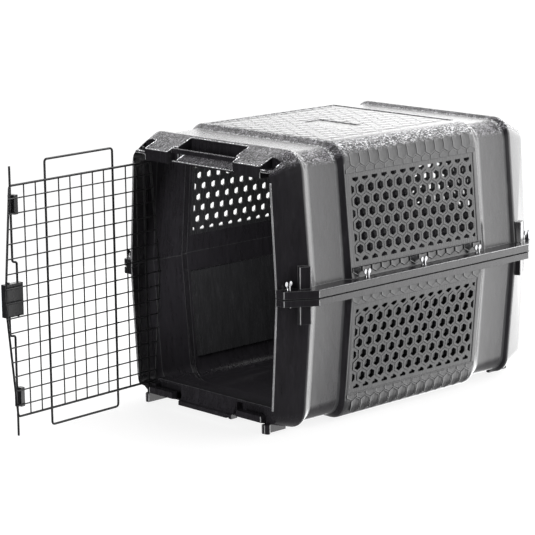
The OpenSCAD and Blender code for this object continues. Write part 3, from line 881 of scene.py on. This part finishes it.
def make_door():
    refine("hinge_rod", [M_WIRE], "shell", sharp=50)
    for part in ("door_frame_wire", "door_horizontal_wires", "door_vertical_wires", "door_loop_wire"):
        refine(part, [M_WIRE], "door", sharp=50)
    for part in ("latch_housing", "latch_cover", "upper_rod_guide", "lower_rod_guide"):
        refine(part, [M_LATCH, M_EDGE_HIGHLIGHT], "door", 0.5 * MM)
    for level in ("upper", "lower"):
        refine(level + "_latch_rod", [M_WIRE], level + "_latch", sharp=50)
        refine(level + "_latch_tab", [M_LATCH], level + "_latch", sharp=50)
    coil("upper_latch_spring", UPPER_ROD_X, UPPER_SPRING)
    coil("lower_latch_spring", LOWER_ROD_X, LOWER_SPRING)
    welds()


# ---------------------------------------------------------------- floor and light
FLOOR_R = 1.35
FLOOR_GAP = 0.0005
BACKDROP = 1.05


def make_floor():
    """A pale disc that glows a little, so that it melts into the backdrop but still takes a shadow."""
    bm = bmesh.new()
    bmesh.ops.create_circle(bm, cap_ends=True, radius=FLOOR_R, segments=128)
    mesh = bpy.data.meshes.new("floor")
    bm.to_mesh(mesh)
    bm.free()
    floor = bpy.data.objects.new("floor", mesh)
    SCENE.collection.objects.link(floor)
    floor.location = (0, 0, cad_box[0][2] - FLOOR_GAP)
    t = Tree("floor_paper")
    colour = t.ramp(t.noise(3, 3), [(0.3, 0.22), (0.7, 0.25)])
    t.finish(Base_Color=colour, Roughness=0.9, Emission_Color=(1, 1, 1, 1), Emission_Strength=0.85)
    mesh.materials.append(t.mat)
    floor.visible_glossy = False


def area_light(name, place, aim, size, power, mirrored=True):
    """A rectangular light that the camera doesn't see; mirrored says whether glossy surfaces do."""
    data = bpy.data.lights.new(name, "AREA")
    data.shape = "RECTANGLE"
    data.size, data.size_y = size
    data.energy = power
    light = bpy.data.objects.new(name, data)
    SCENE.collection.objects.link(light)
    light.location = place
    light.rotation_euler = (Vector(aim) - Vector(place)).to_track_quat("-Z", "Y").to_euler()
    light.visible_camera = False
    light.visible_glossy = mirrored


def make_lights():
    area_light("overhead", (-0.2, 0.6, 2.8), (0, 0, 0.3), (1.8, 1.4), 30)
    area_light("inside", (0.0, -0.30, 0.30), (0, 0.3, 0.15), (0.3, 0.3), 1.3, mirrored=False)
    area_light("fill", (0.5, -4.2, 1.1), (0, 0, 0.25), (1.8, 1.8), 95)


def make_world():
    """A bright room behind the object and a dim one in front of it. Its brightness is a product of
    fades by direction. The camera itself sees an even white backdrop."""
    world = bpy.data.worlds.new("studio")
    SCENE.world = world
    world.use_nodes = True
    tree = world.node_tree
    direction = tree.nodes.new("ShaderNodeSeparateXYZ")
    tree.links.new(tree.nodes.new("ShaderNodeTexCoord").outputs["Generated"], direction.inputs[0])
    x, y, z = direction.outputs

    def combine(operation, first, second):
        """The sum or the product of two values."""
        made = tree.nodes.new("ShaderNodeMath")
        made.operation = operation
        plug(tree, made.inputs[0], first)
        plug(tree, made.inputs[1], second)
        return made.outputs[0]

    def fade(axis, start, end, before, after):
        """Goes smoothly from before to after as the direction's share along axis goes from start to end."""
        made = tree.nodes.new("ShaderNodeMapRange")
        made.interpolation_type = "SMOOTHSTEP"
        limits = {"Value": axis, "From Min": start, "From Max": end, "To Min": before, "To Max": after}
        for key, value in limits.items():
            plug(tree, made.inputs[key], value)
        return made.outputs["Result"]

    brightness = fade(y, 0.02, 0.60, 0.06, 2.7)
    dimmer_overhead = fade(z, 0.2, 0.85, 1.0, 0.7)
    darker_ground = fade(combine("ADD", z, y), 0.12, 0.36, 0.14, 1.0)
    darker_left = fade(x, -0.6, -0.1, 0.74, 1.0)
    brighter_far = fade(y, 0.64, 0.80, 1.0, 1.7)
    for factor in (dimmer_overhead, darker_ground, darker_left, brighter_far):
        brightness = combine("MULTIPLY", brightness, factor)

    # Sockets 0, 2 and 3 are the plain number form's: share, first and second
    choice = tree.nodes.new("ShaderNodeMix")
    tree.links.new(tree.nodes.new("ShaderNodeLightPath").outputs["Is Camera Ray"], choice.inputs[0])
    tree.links.new(brightness, choice.inputs[2])
    choice.inputs[3].default_value = BACKDROP
    background = tree.nodes["Background"]
    background.inputs["Color"].default_value = (1, 1, 1, 1)
    tree.links.new(choice.outputs[0], background.inputs["Strength"])


make_camera()
make_shells()
make_fasteners()
make_door()
make_floor()
make_world()
make_lights()
